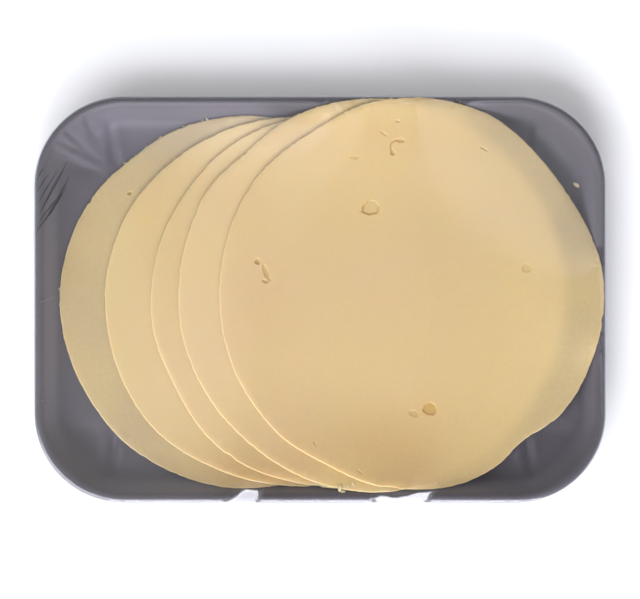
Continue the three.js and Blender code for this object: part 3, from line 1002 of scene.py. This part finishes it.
def film_material():
    """Clear stretch film: it lets light through and mirrors the lights, more at a slant."""
    n = Nodes("film")
    relief = n.bump(n.noise(70, 2, 0.4), 0.0004, 0.08)
    clear = n.add("BsdfTransparent", Color=(0.985, 0.987, 0.99, 1))
    gloss = n.add("BsdfAnisotropic", Color=(0.97, 0.97, 1.0, 1), Roughness=0.09, Normal=relief)
    slant = n.add("LayerWeight", Blend=0.5, Normal=relief).outputs["Facing"]
    share = n.fit(n.math("POWER", slant, 4.0), 0.0, 1.0, 0.07, 0.9)
    surface = n.add("MixShader")
    n.set(surface.inputs[0], share)
    n.set(surface.inputs[1], clear.outputs[0])
    n.set(surface.inputs[2], gloss.outputs[0])
    return n.finish(surface.outputs[0])


def fold_material():
    """Film folded on itself: duller, and darker to look through."""
    n = Nodes("film_fold")
    clear = n.add("BsdfTransparent", Color=(0.28, 0.275, 0.30, 1))
    gloss = n.add("BsdfAnisotropic", Color=(0.95, 0.95, 1.0, 1), Roughness=0.2,
                  Normal=n.bump(n.noise(900, 2), 0.0002, 0.3))
    surface = n.add("MixShader")
    n.set(surface.inputs[0], n.fit(n.attribute("shine"), 0, 1, 0.04, 0.45))
    n.set(surface.inputs[1], clear.outputs[0])
    n.set(surface.inputs[2], gloss.outputs[0])
    return n.finish(surface.outputs[0])


def floor_material():
    """A smooth, nearly white studio table."""
    n = Nodes("studio_floor")
    tone = n.mix(n.fit(n.noise(8, 2), 0.3, 0.7), (0.93, 0.93, 0.935, 1), (0.95, 0.95, 0.95, 1))
    shader = n.add("BsdfPrincipled", Base_Color=tone, Roughness=0.9)
    return n.finish(shader.outputs[0])


# ---- Studio ----
# The floor's section, as (distance from the middle, height): flat, then swept up into a wall.
FLOOR_SWEEP = [(2500, 0), (2900, 50), (3200, 220), (3360, 520), (3420, 1500)]


def build_floor():
    """A wide pale floor that sweeps up into a wall all round."""
    sides = 64
    vertices, faces = [(0, 0, 0)], []
    for reach, z in FLOOR_SWEEP:
        for side in range(sides):
            angle = side / sides * 2 * math.pi
            vertices.append((reach * math.cos(angle), reach * math.sin(angle), z))
    for side in range(sides):
        after = (side + 1) % sides
        faces.append((0, 1 + side, 1 + after))
        for ring in range(len(FLOOR_SWEEP) - 1):
            a, b = 1 + ring * sides, 1 + (ring + 1) * sides
            faces.append((a + side, b + side, b + after, a + after))
    floor = new_object("studio_floor", vertices, faces)
    floor.data.materials.append(floor_material())


def area_light(name, place, target, size, radiance, colour, roll=0):
    """A soft rectangular light whose face has a given radiance, rolled in its own plane."""
    light = bpy.data.lights.new(name, "AREA")
    light.shape = "RECTANGLE"
    light.size, light.size_y = size
    light.energy = radiance * math.pi * size[0] * size[1]
    light.color = colour
    lamp = bpy.data.objects.new(name, light)
    lamp.location = place
    aim = (Vector(target) - Vector(place)).to_track_quat("-Z", "Y")
    lamp.rotation_euler = (aim @ Quaternion((0, 0, 1), math.radians(roll))).to_euler()
    bpy.context.scene.collection.objects.link(lamp)


def build_lights():
    """A dim even sky, panels overhead and lamps round the pack."""
    world = bpy.data.worlds.new("studio")
    world.use_nodes = True
    world.node_tree.nodes["Background"].inputs[0].default_value = (0.98, 0.98, 1.0, 1)
    world.node_tree.nodes["Background"].inputs[1].default_value = 0.25
    bpy.context.scene.world = world
    white, cool, lavender = (1, 1, 1), (0.93, 0.94, 1.0), (0.86, 0.85, 1.0)
    # Panels overhead, whose mirror images in the film are its veils.
    panels = [
        ("panel_right", (0.405, 0.111), (0.6, 0.4), 0.85, cool, -32),
        ("panel_top", (0, 0.147), (0.42, 0.06), 1.7, lavender, 0),
        ("panel_corner", (0.24, 0.3), (0.3, 0.22), 1.9, lavender, -32),
        ("panel_left", (-0.322, 0.135), (0.6, 0.7), 0.5, white, -12.6),
    ]
    for name, (x, y), size, radiance, colour, roll in panels:
        area_light(name, (x, y, PANEL_HEIGHT), (x, y, 0), size, radiance, colour, roll)
    # Lamps round the pack. The window is the one that the facets over the near rim mirror.
    lamps = [
        ("key", (-0.55, -1.05, 1.05), (2.0, 1.0), 5.2, cool),
        ("low", (-0.3, -1.5, 0.32), (2.4, 0.4), 2.5, (0.92, 0.92, 1.0)),
        ("window", (0.05, -1.15, 0.56), (0.8, 0.36), 9.0, (0.92, 0.93, 1.0)),
        ("side_left", (-1.1, -0.2, 0.7), (1.2, 0.6), 1.1, white),
        ("side_right", (1.1, -0.2, 0.7), (1.2, 0.6), 0.6, white),
        ("back", (0.0, 1.2, 0.8), (1.6, 0.6), 0.8, white),
    ]
    for name, place, size, radiance, colour in lamps:
        area_light(name, place, (0, 0, 0), size, radiance, colour)


def build_camera():
    """A camera straight above the pack."""
    camera = bpy.data.cameras.new("camera")
    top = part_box("stretch_film")[1].z
    camera.sensor_width = SENSOR_WIDTH
    camera.lens = SENSOR_WIDTH * (CAMERA_HEIGHT - top) / PHOTO_WIDTH
    camera.clip_start = 0.01
    rig = bpy.data.objects.new("camera", camera)
    rig.location = (0, 0, CAMERA_HEIGHT)
    bpy.context.scene.collection.objects.link(rig)
    bpy.context.scene.camera = rig


# ---- Putting it together ----
build_camera()
build_lights()
build_floor()
undersides, backings, pile = settle_slices()
tray = build_tray()
tray.data.materials.append(foam_material())
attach(tray, "root")
cheese = cheese_material()
for number in range(len(SLICES)):
    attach(build_slice(number, undersides[number], backings[number], cheese), "root")
build_crumbs(pile, cheese)
roof = film_top(pile)
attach(build_film(pile, roof, film_material()), "root")
build_folds(roof, fold_material())
bpy.context.scene.view_settings.view_transform = "Standard"
